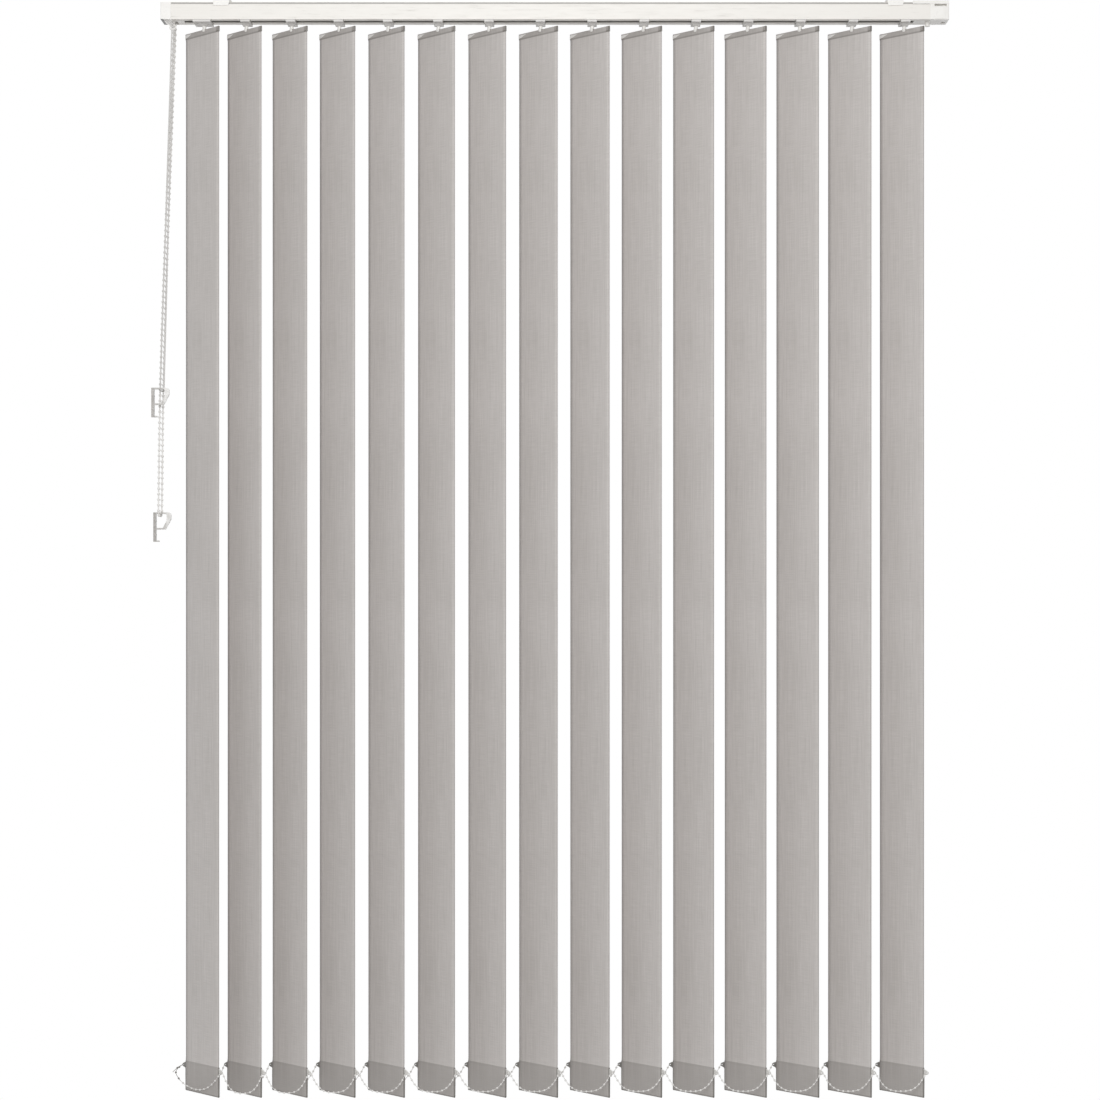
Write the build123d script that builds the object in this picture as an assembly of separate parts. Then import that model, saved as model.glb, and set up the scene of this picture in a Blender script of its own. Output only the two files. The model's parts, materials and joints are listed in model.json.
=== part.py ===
from build123d import *
import math
import os

# A vertical blind: fifteen fabric vanes hang from carriers that run in an aluminium headrail.
# Millimetres. X runs along the rail to the right, -Y faces the room, +Z is up.
# The origin is the middle of the two ceiling screws, on the ceiling plane.

# Headrail
rail_length = 1200.0
rail_depth = 41.0
rail_height = 26.0
rail_wall = 1.4
rail_drop = 6.0
slot_width = 16.0
groove_depth = 1.5
groove_height = 2.4
bead_height = 0.6
control_cap_length = 16.0
far_cap_length = 29.0
latch_recess = 9.0
peg_radius = 3.8
peg_drop = 7.0
insert_clearance = 0.25

# Ceiling brackets
bracket_spacing = 1026.4
bracket_inset = 92.3
bracket_width = 27.0
bracket_plate = 2.0
bracket_lip = 1.5
bracket_lip_drop = 5.0
bracket_lip_taper = 2.4
screw_hole_radius = 2.25
screw_head_radius = 4.6

# Vanes
vane_count = 15
vane_width = 89.0
vane_length = 1628.0
vane_gap = 11.6
fabric = 0.6
pocket_wall = 0.45
pocket_height = 9.0
pocket_depth = 1.4
hem_height = 46.0
hem_depth = 1.0
card_thickness = 0.9
weight_thickness = 0.8
vane_angle = 48.0
vane_shift = -5.2
full_pitch = 79.9
first_pitch_loss = 15.5
pitch_loss_fade = 2.6
lead_offset = 64.1

# Tilt mechanism
rod_radius = 2.2
rod_behind = 7.6
rod_below = 13.2
flute_radius = 0.7
worm_radius = 3.4
worm_length = 8.0
gear_radius = 4.0
gear_root = 3.2
gear_teeth = 6
gear_height = 5.0
stem_radius = 2.9
bore_sides = 8
running_fit = 0.05
turning_gap = 0.3
control_insert = 18.0
far_insert = 23.0

# Carriers
carrier_width = 14.3
lead_left = 15.1
lead_right = 11.8
plate_thickness = 3.1
boss_height = 3.2
boss_radius = 4.2
slide_gap = 0.3
button_radius = 3.65
button_tip = 2.6
button_rise = 0.9
button_drop = 3.6
nub_radius = 1.1
nub_drop = 2.0

# Spacer strips between the carriers
spacer_length = 78.0
spacer_width = 6.0
spacer_thickness = 0.3
spacer_slope = 2.0

# Tilt chain, its wheel and its clip
chain_tube = 1.0
bead_radius = 2.2
bead_pitch = 8.4
wheel_pockets = 6
wheel_width = 8.0
wheel_side_gap = 0.5
chain_from_end = 18.5
chain_loop = 7.1
chain_loop_turn = 13.0
chain_clip_drop = 762.4
chain_lean = 5.2
chain_bend_drop = 514.0
chain_bend_lean = 2.0
chain_bend_y = 9.2
chain_bend_x = 1.2
chain_bend_half = 7.3
cord_sides = 6

# Traverse cord, its pulley, its guide eye and its clip
cord_radius = 0.9
pulley_radius = 7.0
pulley_width = 3.0
pulley_pin = 1.5
pulley_inset = 10.0
pulley_sides = 16
cord_line = 16.4
down_strand = 5.5
up_strand = 11.5
turn_radius = 3.0
channel_half = 1.3
eye_from_end = 18.3
eye_radius = 4.6
eye_wire = 0.8
eye_sides = 12
eye_tilt = 35.0
eye_drop = 11.6
eye_approach = 5.5
eye_turn = 4.0
cord_loop = 6.0
cord_loop_turn = 20.0
cord_clip_drop = 572.9
cord_lean = -1.0

# Wall clips
clip_width = 8.0
clip_height = 45.0
clip_plate = 4.2
clip_band = 2.4
clip_reach = 27.0
clip_ring_height = 26.2
clip_lobe = 6.6
clip_waist = 18.5
clip_slant = 10.0
clip_screw_radius = 1.75
clip_screw_spacing = 22.0
clip_line = 10.0
loop_hang = 3.2
wall_offset = 15.0

# Bottom chains
link_radius = 0.8
link_sides = 4
link_length = 104.0
link_steep = 4.0
link_turn = 15.0
hook_reach = 50.8
hook_tip = 3.2
hook_hole = 1.0
hook_drop = 7.0
link_gap = 1.7

# Worked-out levels and places
left = -bracket_spacing / 2 - bracket_inset
right = left + rail_length
rail_top = -rail_drop
rail_bottom = rail_top - rail_height
half_depth = rail_depth / 2
inner_half = half_depth - rail_wall
inner_top = rail_top - rail_wall
inner_floor = rail_bottom + rail_wall
groove_floor = rail_top - bead_height - groove_height
shoulder = groove_floor - rail_wall
slot_half = slot_width / 2
rail_start = left + control_cap_length
rail_end = right - far_cap_length
rod_y = rod_behind
rod_z = rail_top - rod_below
vane_top = rail_bottom - vane_gap
vane_bottom = vane_top - vane_length
nub_z = vane_top - nub_drop
half_vane = vane_width / 2
pocket_half = pocket_depth / 2 + pocket_wall
hem_half = hem_depth / 2 + pocket_wall
wheel_radius = bead_pitch * wheel_pockets / (2 * math.pi)
chain_x = left + chain_from_end
upper_run = rod_z + pulley_radius
lower_run = rod_z - pulley_radius
pulley_x = rail_end - pulley_inset
hook_z = vane_bottom + hem_height - hook_drop


def pitch(index):
    """Distance from one carrier to the next: they bunch a little towards the control end."""
    return full_pitch - first_pitch_loss * math.exp(-index / pitch_loss_fade)


def carrier_places():
    places = [left + lead_offset]
    for index in range(vane_count - 1):
        places.append(places[-1] + pitch(index))
    return places


def block(x0, x1, y0, y1, z0, z1):
    """Box between two corners."""
    middle = ((x0 + x1) / 2, (y0 + y1) / 2, (z0 + z1) / 2)
    return Pos(*middle) * Box(abs(x1 - x0), abs(y1 - y0), abs(z1 - z0))


def round_x(radius, x0, x1, y, z):
    """Cylinder along X."""
    return Pos((x0 + x1) / 2, y, z) * Rot(0, 90, 0) * Cylinder(radius, abs(x1 - x0))


def round_y(radius, x, y0, y1, z):
    """Cylinder along Y."""
    return Pos(x, (y0 + y1) / 2, z) * Rot(90, 0, 0) * Cylinder(radius, abs(y1 - y0))


def round_z(radius, x, y, z0, z1):
    """Cylinder along Z."""
    return Pos(x, y, (z0 + z1) / 2) * Cylinder(radius, abs(z1 - z0))


def prism_x(radius, sides, x0, x1, y, z):
    """Many-sided bar along X; radius is that of the circle inside it."""
    plane = Plane(origin=(x0, y, z), x_dir=(0, 1, 0), z_dir=(1, 0, 0))
    return extrude(plane * RegularPolygon(radius, sides, major_radius=False), amount=x1 - x0)


def prism_y(radius, sides, x, y0, y1, z):
    """Many-sided bar along Y; radius is that of the circle inside it."""
    plane = Plane(origin=(x, y1, z), x_dir=(1, 0, 0), z_dir=(0, -1, 0))
    return extrude(plane * RegularPolygon(radius, sides, major_radius=False), amount=y1 - y0)


def section_x(points, x0, x1):
    """Closed outline of (y, z) points, extruded along X."""
    face = make_face(Polyline(*points, close=True))
    return extrude(Plane.YZ.offset(x0) * face, amount=x1 - x0)


def section_y(face, y0, y1):
    """Face drawn as (x, z), extruded from y0 to y1."""
    plane = Plane(origin=(0, y0, 0), x_dir=(1, 0, 0), z_dir=(0, -1, 0))
    return extrude(plane * face, amount=y0 - y1)


def swept(path, radius, sides=cord_sides):
    """Bar along a path, with a many-sided section that stays light in facets."""
    start = Plane(origin=path @ 0, z_dir=path % 0)
    return sweep(start * RegularPolygon(radius, sides), path=path)


def bent(points, radius, sides):
    """Bar along straight runs with mitred corners."""
    path = Polyline(*points)
    start = Plane(origin=path @ 0, z_dir=path % 0)
    return sweep(start * RegularPolygon(radius, sides), path=path, transition=Transition.RIGHT)


def write(name, *solids):
    """One STEP file for one named piece."""
    shape = solids[0] if len(solids) == 1 else Compound(children=list(solids))
    shape.label = name
    export_step(shape, f"parts/{name}.step")


def rail_outline(shrink):
    """Half of the rail's outer (shrink 0) or inner (shrink 1) contour, top to bottom, +Y side."""
    wall = rail_wall * shrink
    top = rail_top - wall
    groove = half_depth - groove_depth - wall
    if shrink:
        return [(groove, top), (groove, shoulder), (half_depth - wall, shoulder)]
    bead = rail_top - bead_height
    return [(half_depth, top), (half_depth, bead), (groove, bead), (groove, groove_floor), (half_depth, groove_floor)]


def make_headrail():
    """Extruded channel with a groove under each top edge and a slot along the bottom."""
    outer = rail_outline(0) + [(half_depth, rail_bottom)]
    inner = rail_outline(1) + [(inner_half, inner_floor)]
    mirrored_outer = [(-y, z) for y, z in reversed(outer)]
    mirrored_inner = [(-y, z) for y, z in reversed(inner)]
    rail = section_x(outer + mirrored_outer, rail_start, rail_end)
    rail -= section_x(inner + mirrored_inner, rail_start, rail_end)
    rail -= block(rail_start, rail_end, -slot_half, slot_half, rail_bottom - 1, inner_floor + 1)
    notch_end = chain_x + wheel_width / 2 + 1
    rail -= block(rail_start, notch_end, 0, inner_half, rail_bottom - 1, inner_floor + 1)
    return rail


def insert_body(x0, x1):
    """Plug of an end cap: the rail's inner shape with a running clearance."""
    low = block(
        x0, x1,
        insert_clearance - inner_half, inner_half - insert_clearance,
        inner_floor + insert_clearance, shoulder - insert_clearance,
    )
    neck = half_depth - groove_depth - rail_wall - insert_clearance
    high = block(x0, x1, -neck, neck, shoulder - insert_clearance - 1, inner_top - insert_clearance)
    return low + high


def cap_shell(x0, x1):
    """Visible end of a cap, flush with the rail, with softened end corners."""
    shell = block(x0, x1, -half_depth, half_depth, rail_bottom, rail_top)
    return fillet(shell.edges().filter_by(Axis.Z), 1.0)


def make_control_cap():
    """End cap that houses the chain wheel and turns the traverse cord down."""
    insert_end = rail_start + control_insert
    slot_plug = slot_half - insert_clearance
    cap = cap_shell(left, rail_start) + insert_body(rail_start - 1, insert_end)
    cap += block(rail_start, insert_end, -slot_plug, slot_plug, rail_bottom, inner_floor + 2)
    wheel_from = chain_x - wheel_width / 2 - wheel_side_gap
    wheel_to = chain_x + wheel_width / 2 + wheel_side_gap
    reach = wheel_radius + bead_radius
    cap -= round_x(reach + turning_gap, wheel_from, wheel_to, rod_y, rod_z)
    opening_front = rod_y - reach - turning_gap
    opening_back = rod_y + reach + turning_gap
    cap -= block(wheel_from, wheel_to, opening_front, opening_back, rail_bottom - 1, rod_z)
    cap -= round_x(rod_radius + running_fit, left + 8, insert_end, rod_y, rod_z)
    channel_front = -cord_line - channel_half
    channel_back = -cord_line + channel_half
    cap -= block(left + 3, insert_end, channel_front, channel_back, lower_run - 2, upper_run + 1.8)
    cap -= block(left + 3, left + 14, channel_front, channel_back, rail_bottom - 1, lower_run)
    peg = turn_radius - cord_radius - 0.2
    for exit_x, run in ((left + down_strand, upper_run), (left + up_strand, lower_run)):
        cap += prism_y(
            peg, eye_sides, exit_x + turn_radius, channel_front - 0.5, channel_back + 0.5, run - turn_radius,
        )
    return cap + guide_eye()


def guide_eye():
    """Eye under the control cap: it brings the traverse cord beside the tilt chain."""
    arm_y = -cord_line + eye_radius * math.sin(math.radians(eye_tilt))
    middle = Pos(left + eye_from_end, -cord_line, rail_bottom - eye_drop)
    ring_face = RegularPolygon(eye_radius + eye_wire, eye_sides) - RegularPolygon(eye_radius - eye_wire, eye_sides)
    ring = extrude(ring_face, amount=eye_wire, both=True)
    eye_top = rail_bottom - eye_drop + eye_radius * math.cos(math.radians(eye_tilt))
    bend = ThreePointArc(
        (left + 5.4, arm_y, rail_bottom + 1),
        (left + 9.5, arm_y, rail_bottom - 5.5),
        (left + eye_from_end, arm_y, eye_top),
    )
    return middle * Rot(90 - eye_tilt, 0, 0) * ring + swept(bend, eye_wire)


def make_far_cap():
    """End cap with a latch tongue over the rail's front edge; it carries the cord pulley."""
    insert_from = rail_end - far_insert
    slot_plug = slot_half - insert_clearance
    cap = cap_shell(rail_end, right) + insert_body(insert_from, rail_end + 1)
    cap += block(insert_from, rail_end, -slot_plug, slot_plug, rail_bottom, inner_floor + 2)
    cap -= round_x(rod_radius + running_fit, insert_from, rail_end + 8, rod_y, rod_z)
    wheel_front = -cord_line - pulley_width / 2 - turning_gap
    wheel_back = -cord_line + pulley_width / 2 + turning_gap
    reach = pulley_radius + cord_radius + turning_gap
    cap -= block(insert_from, pulley_x, wheel_front, wheel_back, rod_z - reach, rod_z + reach)
    cap -= round_y(reach, pulley_x, wheel_front, wheel_back, rod_z)
    cap += round_y(pulley_pin, pulley_x, wheel_front - 0.3, wheel_back + 1, rod_z)
    boss = Pos(rail_end - 1.5, 0, rail_bottom - peg_drop) * RegularPolygon(peg_radius, eye_sides)
    cap += extrude(boss, amount=peg_drop + 1)
    latch_from = rail_end + 7
    latch_to = right - 3.5
    cap -= block(latch_to - 6, latch_to, 0.6, 11.6, rail_bottom - 1, rail_bottom + 5)
    cap -= block(latch_from, latch_to, -half_depth - 1, 1.5 - half_depth, rail_bottom - 1, rail_bottom + 0.8)
    tongue_low = rail_top - 2.6
    tongue_front = -half_depth - 1.2
    tongue = block(rail_end - 26, right, tongue_front, -half_depth, tongue_low, rail_top + 2.4)
    tongue += block(rail_end - 26, right, tongue_front, 2 - half_depth, rail_top + 0.3, rail_top + 2.4)
    tongue += block(rail_end + 1, right, -half_depth - 1.2, 2 - half_depth, rail_top - 1, rail_top + 2.4)
    cap += tongue
    recess_back = latch_recess - half_depth
    cap -= block(latch_from, latch_to, -half_depth - 1, recess_back, rail_top - 6.2, tongue_low - 0.2)
    return cap


def make_bracket(x):
    """Ceiling clip: a plate with a drilled middle, two hooked lips and a release tab."""
    plate_back = half_depth + bracket_lip + 7
    half = bracket_width / 2
    body = block(x - half, x + half, -half_depth - bracket_lip - 0.3, plate_back, -bracket_plate, 0)
    for rib in (x - half + 1.5, x + half - 1.5):
        body += block(rib - 1, rib + 1, -half_depth + 4, half_depth - 4, rail_top, -bracket_plate)
    lip_bottom = rail_top - bracket_lip_drop
    for side in (-1, 1):
        outside = side * (half_depth + 0.3)
        face = make_face(Polyline(
            (x - half, 0), (x + half, 0),
            (x + half - bracket_lip_taper, lip_bottom), (x - half + bracket_lip_taper, lip_bottom),
            close=True,
        ))
        body += section_y(face, outside, outside + side * bracket_lip)
        tooth_in = side * (half_depth - groove_depth + 0.2)
        body += block(
            x - half + 4, x + half - 4, tooth_in, outside + side * 0.5,
            groove_floor + 0.2, groove_floor + groove_height - 0.2,
        )
    body -= round_z(screw_hole_radius, x, 0, -bracket_plate - 1, 1)
    body -= Pos(x, 0, -bracket_plate) * Cone(screw_head_radius, screw_hole_radius, 1.6,
                                             align=(Align.CENTER, Align.CENTER, Align.MIN))
    return body


def make_tilt_rod():
    """Fluted rod that turns every worm."""
    rod = round_x(rod_radius, left + 10, rail_end + 7, rod_y, rod_z)
    for flute in range(3):
        angle = math.radians(90 + 120 * flute)
        flute_y = rod_y + (rod_radius + 0.25) * math.cos(angle)
        flute_z = rod_z + (rod_radius + 0.25) * math.sin(angle)
        flute_to = rail_end - far_insert - 1
        rod -= round_x(flute_radius, rail_start + control_insert + 2, flute_to, flute_y, flute_z)
    return rod


def make_chain_wheel():
    """Bead wheel on the rod: a link groove and a pocket for each bead."""
    from_x = chain_x - wheel_width / 2
    to_x = chain_x + wheel_width / 2
    rim_sides = 3 * wheel_pockets
    wheel = prism_x(wheel_radius + 1.1, rim_sides, from_x, to_x, rod_y, rod_z)
    groove_half = chain_tube + turning_gap
    groove = prism_x(wheel_radius + 2, rim_sides, chain_x - groove_half, chain_x + groove_half, rod_y, rod_z)
    groove -= prism_x(wheel_radius - groove_half - 0.1, rim_sides, from_x, to_x, rod_y, rod_z)
    wheel -= groove
    pocket_size = 2 * bead_radius + 0.4
    for pocket in range(wheel_pockets):
        angle = 360 * (pocket + 0.5) / wheel_pockets
        place = Pos(chain_x, rod_y, rod_z) * Rot(angle, 0, 0) * Pos(0, wheel_radius, 0)
        wheel -= place * Box(pocket_size, pocket_size, pocket_size)
    return wheel - round_x(rod_radius + running_fit, from_x, to_x, rod_y, rod_z)


def make_cord_pulley():
    """Grooved pulley at the far end, which turns on a pin of the cap."""
    front = -cord_line - pulley_width / 2
    back = -cord_line + pulley_width / 2
    pulley = prism_y(pulley_radius + 0.5, pulley_sides, pulley_x, front, back, rod_z)
    groove_half = cord_radius + turning_gap
    groove = prism_y(
        pulley_radius + 2, pulley_sides, pulley_x, -cord_line - groove_half, -cord_line + groove_half, rod_z,
    )
    groove -= prism_y(pulley_radius - groove_half - 0.1, pulley_sides, pulley_x, front, back, rod_z)
    return pulley - groove - round_y(pulley_pin + running_fit, pulley_x, front, back, rod_z)


def housing_level():
    """Top of a carrier's gear housing."""
    return rod_z + worm_radius + 2.6


def make_carrier(left_half, right_half, has_clamp):
    """Runner around its stem's axis: plate under the rail, neck in the slot, gear housing inside."""
    plate_top = rail_bottom - slide_gap
    plate_bottom = plate_top - plate_thickness
    plate_reach = half_depth - 0.2
    half = carrier_width / 2
    plate = block(-left_half, right_half, -plate_reach, plate_reach, plate_bottom, plate_top)
    top_face = Pos(0, 0, plate_bottom) * Rectangle(carrier_width - 2, 16)
    foot_face = Pos(0, 0, plate_bottom - boss_height) * Rectangle(2 * boss_radius, 2 * boss_radius)
    boss = loft([top_face, foot_face], ruled=True)
    neck_half = slot_half - slide_gap
    neck = block(1 - half, half - 1, -neck_half, neck_half, plate_top, inner_floor + slide_gap)
    housing_top = housing_level()
    housing = block(-half, half, -9, rod_y + worm_radius + 2, inner_floor + slide_gap, housing_top)
    for side in (-1, 1):
        shoe_in = side * 7
        shoe_out = side * (cord_line - cord_radius - 1)
        housing += block(-half, half, shoe_in, shoe_out, inner_floor + slide_gap, inner_floor + 4)
    body = plate + boss + neck + housing
    gear_floor = rod_z - gear_height / 2 - 0.2
    gear_room = gear_radius + turning_gap
    body -= block(-gear_room, gear_room, -gear_room, gear_room, gear_floor, housing_top + 1)
    worm_wall = worm_length / 2 + 0.2
    body -= block(
        -worm_wall, worm_wall, 1, rod_y + worm_radius + turning_gap,
        rod_z - worm_radius - turning_gap, housing_top + 1,
    )
    rod_room = rod_radius + running_fit
    body -= block(-half - 1, half + 1, rod_y - rod_room, rod_y + rod_room, rod_z - rod_room, rod_z + rod_room)
    bore = Pos(0, 0, plate_bottom - boss_height - 1) * RegularPolygon(
        stem_radius + running_fit, bore_sides, major_radius=False,
    )
    body -= extrude(bore, amount=gear_floor - plate_bottom + boss_height + 2)
    if has_clamp:
        return body + make_clamp()
    foot = block(-half, half, -8.5, -5, housing_top - 1, housing_top + 0.5)
    return body + foot - make_spacer()


def make_clamp():
    """Jaw of the lead carrier, open at the top, that grips the cord's upper run."""
    jaw_back = -cord_line + 7.1
    jaw = block(-6, 6, -cord_line - 1.6, jaw_back, upper_run - 2.4, shoulder - slide_gap)
    grip = cord_radius + turning_gap
    jaw -= block(-7, 7, -cord_line - grip, -cord_line + grip, upper_run - grip, shoulder + 1)
    return jaw + block(-6, 6, jaw_back - 1, -8, inner_floor + 3, housing_level() - 0.1)


def make_spacer():
    """Thin strip to the carrier on the left; its slope lets the strips nest when they are stacked."""
    strip = block(-spacer_length, 0, -spacer_width / 2, spacer_width / 2, 0, spacer_thickness)
    strip = Rot(0, spacer_slope, 0) * strip
    return Pos(carrier_width / 2, -6.0, housing_level() + 0.35) * strip


def make_worm():
    """Sleeve on the rod that drives one stem's gear."""
    worm = prism_x(worm_radius - 0.2, 8, -worm_length / 2, worm_length / 2, rod_y, rod_z)
    return worm - prism_x(rod_radius + running_fit, 6, -worm_length, worm_length, rod_y, rod_z)


def make_stem():
    """Gear, shaft and forked button that grips the vane's top pocket."""
    points = []
    for corner in range(2 * gear_teeth):
        radius = gear_root if corner % 2 else gear_radius
        angle = math.pi * corner / gear_teeth
        points.append((radius * math.cos(angle), radius * math.sin(angle)))
    gear_bottom = rod_z - gear_height / 2
    gear = extrude(Pos(0, 0, gear_bottom) * make_face(Polyline(*points, close=True)), amount=gear_height)
    button_top = vane_top + button_rise
    stem = gear + round_z(stem_radius, 0, 0, button_top - 0.2, gear_bottom + 1)
    rim = Pos(0, 0, vane_top - button_drop / 2) * RegularPolygon(button_radius, 8)
    tip = Pos(0, 0, vane_top - button_drop) * RegularPolygon(button_tip, 8)
    stem += extrude(rim, amount=button_top - vane_top + button_drop / 2) + loft([rim, tip], ruled=True)
    fork_half = pocket_half + turning_gap
    stem -= block(-5, 5, -fork_half, fork_half, vane_top - 9, vane_top + turning_gap)
    nub_half = fork_half + 0.5
    return stem + block(-nub_radius, nub_radius, -nub_half, nub_half, nub_z - nub_radius, nub_z + nub_radius)


def make_fabric():
    """Vane cloth: one layer with a sewn pocket at the top and a deeper one at the bottom."""
    thin = fabric / 2
    pocket_low = vane_top - pocket_height
    hem_top = vane_bottom + hem_height
    side = [
        (pocket_half, vane_top), (pocket_half, pocket_low), (thin, pocket_low - 1.5),
        (thin, hem_top + 1.5), (hem_half, hem_top), (hem_half, vane_bottom),
    ]
    outline = side + [(-y, z) for y, z in reversed(side)]
    cloth = section_x(outline, -half_vane, half_vane)
    cloth -= block(
        -half_vane - 1, half_vane + 1, -pocket_depth / 2, pocket_depth / 2,
        pocket_low + 0.6, vane_top - pocket_wall,
    )
    cloth -= block(
        -half_vane - 1, half_vane + 1, -hem_depth / 2, hem_depth / 2,
        vane_bottom + pocket_wall, hem_top - 0.6,
    )
    return cloth - nub_hole()


def make_card():
    """Plastic card in the top pocket, which the stem's nub holds."""
    card = block(
        2 - half_vane, half_vane - 2, -card_thickness / 2, card_thickness / 2,
        vane_top - pocket_height + 0.9, vane_top - pocket_wall - 0.3,
    )
    return card - nub_hole()


def nub_hole():
    """Punched square hole for the stem's nub, through the pocket and its card."""
    half = nub_radius + turning_gap
    return block(-vane_shift - half, half - vane_shift, -3, 3, nub_z - half, nub_z + half)


def make_weight():
    """Bottom weight plate with a chain hook at each upper corner."""
    low = vane_bottom + pocket_wall
    high = vane_bottom + hem_height - 1
    neck = half_vane - 2
    tip = hook_reach + hook_tip
    corner = [
        (neck, low), (neck, hook_z - 5), (half_vane + 1, hook_z - 4.2), (tip - 1.2, hook_z - 2),
        (tip, hook_z), (tip - 1, hook_z + 1.8), (half_vane + 1, hook_z + 4.2), (neck, hook_z + 5), (neck, high),
    ]
    outline = corner + [(-x, z) for x, z in reversed(corner)]
    face = make_face(Polyline(*outline, close=True))
    for x in (-hook_reach, hook_reach):
        face -= Pos(x, hook_z) * Rectangle(2 * hook_hole, 2 * hook_hole)
    return section_y(face, weight_thickness / 2, -weight_thickness / 2)


def place_on_vane(shape, x, shift=0.0):
    """Turn a piece about its stem's axis at x; shift moves it along the vane first."""
    return Pos(x, 0, 0) * Rot(0, 0, -vane_angle) * Pos(shift, 0, 0) * shape


def sag(span):
    """Drop of a chain of fixed length between two hooks that far apart."""
    return span * math.sqrt(3 / 8 * (link_length / span - 1))


def make_bottom_chain(places, side):
    """One slack arc from each vane's hook to the next; side -1 is the front edge, +1 the back."""
    turn = math.radians(vane_angle)
    hook = vane_shift - side * hook_reach
    line_y = -hook * math.sin(turn)
    arcs = []
    for near, far in zip(places, places[1:]):
        start = near + hook * math.cos(turn) + link_gap
        end = far + hook * math.cos(turn) - link_gap
        low = hook_z - sag(end - start)
        knee = (hook_z + low) / 2
        points = [
            (start, line_y, hook_z), (start + link_steep, line_y, knee), (start + link_turn, line_y, low),
            (end - link_turn, line_y, low), (end - link_steep, line_y, knee), (end, line_y, hook_z),
        ]
        arcs.append(bent(points, link_radius, link_sides))
    return arcs


def make_chain_tail(x):
    """End of the bottom chain, wrapped in front of the first vane to its back hook."""
    points = [
        (-hook_reach - hook_tip - 1.1, 1.0, hook_z - 1),
        (-hook_reach - 6.0, -13.6, hook_z - 8),
        (-hook_reach + 1.1, -11.0, hook_z - 20),
        (-40, -8.0, hook_z - 28),
        (-8, -5.0, hook_z - 35),
        (31, -4.0, hook_z - 24),
        (hook_reach - 0.6, -1.7, hook_z - 1),
    ]
    return place_on_vane(bent(points, link_radius, link_sides), x, vane_shift)


def corner_radius(before, corner, after):
    """Largest arc that the shorter run beside a corner leaves room for."""
    first = Vector(*corner) - Vector(*before)
    second = Vector(*after) - Vector(*corner)
    half_turn = math.radians(first.get_angle(second)) / 2
    return 0.45 * min(first.length, second.length) / math.tan(half_turn)


def rounded(points, limits=None):
    """Path of straight runs and tangent arcs; limits caps the radius at a named corner."""
    radii = []
    for index in range(1, len(points) - 1):
        radius = corner_radius(points[index - 1], points[index], points[index + 1])
        if limits and index in limits:
            radius = min(radius, limits[index])
        radii.append(radius)
    print("radii", [round(radius, 1) for radius in radii])
    return FilletPolyline(*points, radius=radii)


def loop_end(middle, radius, turn):
    """Two corners of a cord's loop under a clip's band; middle is on the band's lower face."""
    across_x = radius * math.sin(math.radians(turn))
    across_y = radius * math.cos(math.radians(turn))
    x, y, z = middle
    low = z - loop_hang
    return (x - across_x, y - across_y, low), (x + across_x, y + across_y, low)


def make_tilt_chain(middle, radius, turn):
    """Closed bead chain: a half turn over its wheel and a long loop down to the wall clip."""
    front, back = loop_end(middle, radius, turn)
    bend_x = left - chain_bend_lean
    bend_z = rod_z - chain_bend_drop
    points = [
        (chain_x, rod_y - wheel_radius, rod_z),
        (bend_x - chain_bend_x, chain_bend_y - chain_bend_half, bend_z),
        front,
        back,
        (bend_x + chain_bend_x, chain_bend_y + chain_bend_half, bend_z),
        (chain_x, rod_y + wheel_radius, rod_z),
    ]
    tight = 0.97 * radius
    hanging = swept(rounded(points, {2: tight, 3: tight}), chain_tube)
    top = ThreePointArc(points[0], (chain_x, rod_y, rod_z + wheel_radius), points[-1])
    return hanging, swept(top, chain_tube)


def make_traverse_cord(middle, radius, turn):
    """Cord from the far pulley along the rail, down through the eye, round the clip and back."""
    front, back = loop_end(middle, radius, turn)
    line = -cord_line
    above_eye = rail_bottom - eye_drop + eye_approach
    points = [
        (pulley_x, line, upper_run),
        (left + down_strand, line, upper_run),
        (left + down_strand, line, rail_bottom - 0.5),
        (left + eye_from_end - 1.2, line, above_eye),
        front,
        back,
        (left + eye_from_end + 1.2, line, above_eye),
        (left + up_strand, line, rail_bottom - 0.5),
        (left + up_strand, line, lower_run),
        (pulley_x, line, lower_run),
    ]
    tight = 0.97 * radius
    limits = {1: turn_radius, 4: tight, 5: tight, 8: turn_radius}
    limits.update({corner: eye_turn for corner in (2, 3, 6, 7)})
    long_run = swept(rounded(points, limits), cord_radius)
    turn_end = ThreePointArc(points[0], (pulley_x + pulley_radius, line, rod_z), points[-1])
    return long_run, swept(turn_end, cord_radius)


def drop_shape(x, width, low_width, top, low, roundness):
    """Straight left side, rounded upper right corner, right side that slants in towards the bottom."""
    knee = top - clip_slant
    points = [(x, top), (x + width, top), (x + width, knee), (x + low_width, low), (x, low)]
    face = make_face(Polyline(*points, close=True))
    return fillet(face.vertices().group_by(Axis.X)[-1], roundness / 2)


def make_wall_clip(y, top):
    """P-shaped clip on the side wall: a drilled plate, a D ring for the loop and a foot."""
    wall = left - wall_offset
    bottom = top - clip_height
    ring_low = top - clip_ring_height
    outer = drop_shape(wall, clip_reach, clip_waist, top, ring_low, 9.0)
    hole = drop_shape(
        wall + clip_plate, clip_reach - clip_plate - clip_lobe, clip_waist - clip_plate - clip_band - 1.5,
        top - clip_band, ring_low + clip_band, 5.0,
    )
    stem = Pos(wall + clip_plate / 2, (top + bottom - 2) / 2) * Rectangle(clip_plate, clip_height - 2)
    foot = Pos(wall + 4.4, bottom + 1) * Rectangle(8.8, 2)
    profile = outer - hole + stem + foot
    clip = section_y(profile, y + clip_width / 2, y - clip_width / 2)
    for height in (bottom + 10, bottom + 10 + clip_screw_spacing):
        clip -= round_x(clip_screw_radius, wall - 1, wall + clip_plate + 1, y, height)
    clip -= round_x(clip_screw_radius + 1.2, wall + clip_plate, wall + clip_reach + 1, y,
                    bottom + 10 + clip_screw_spacing)
    return clip


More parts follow.
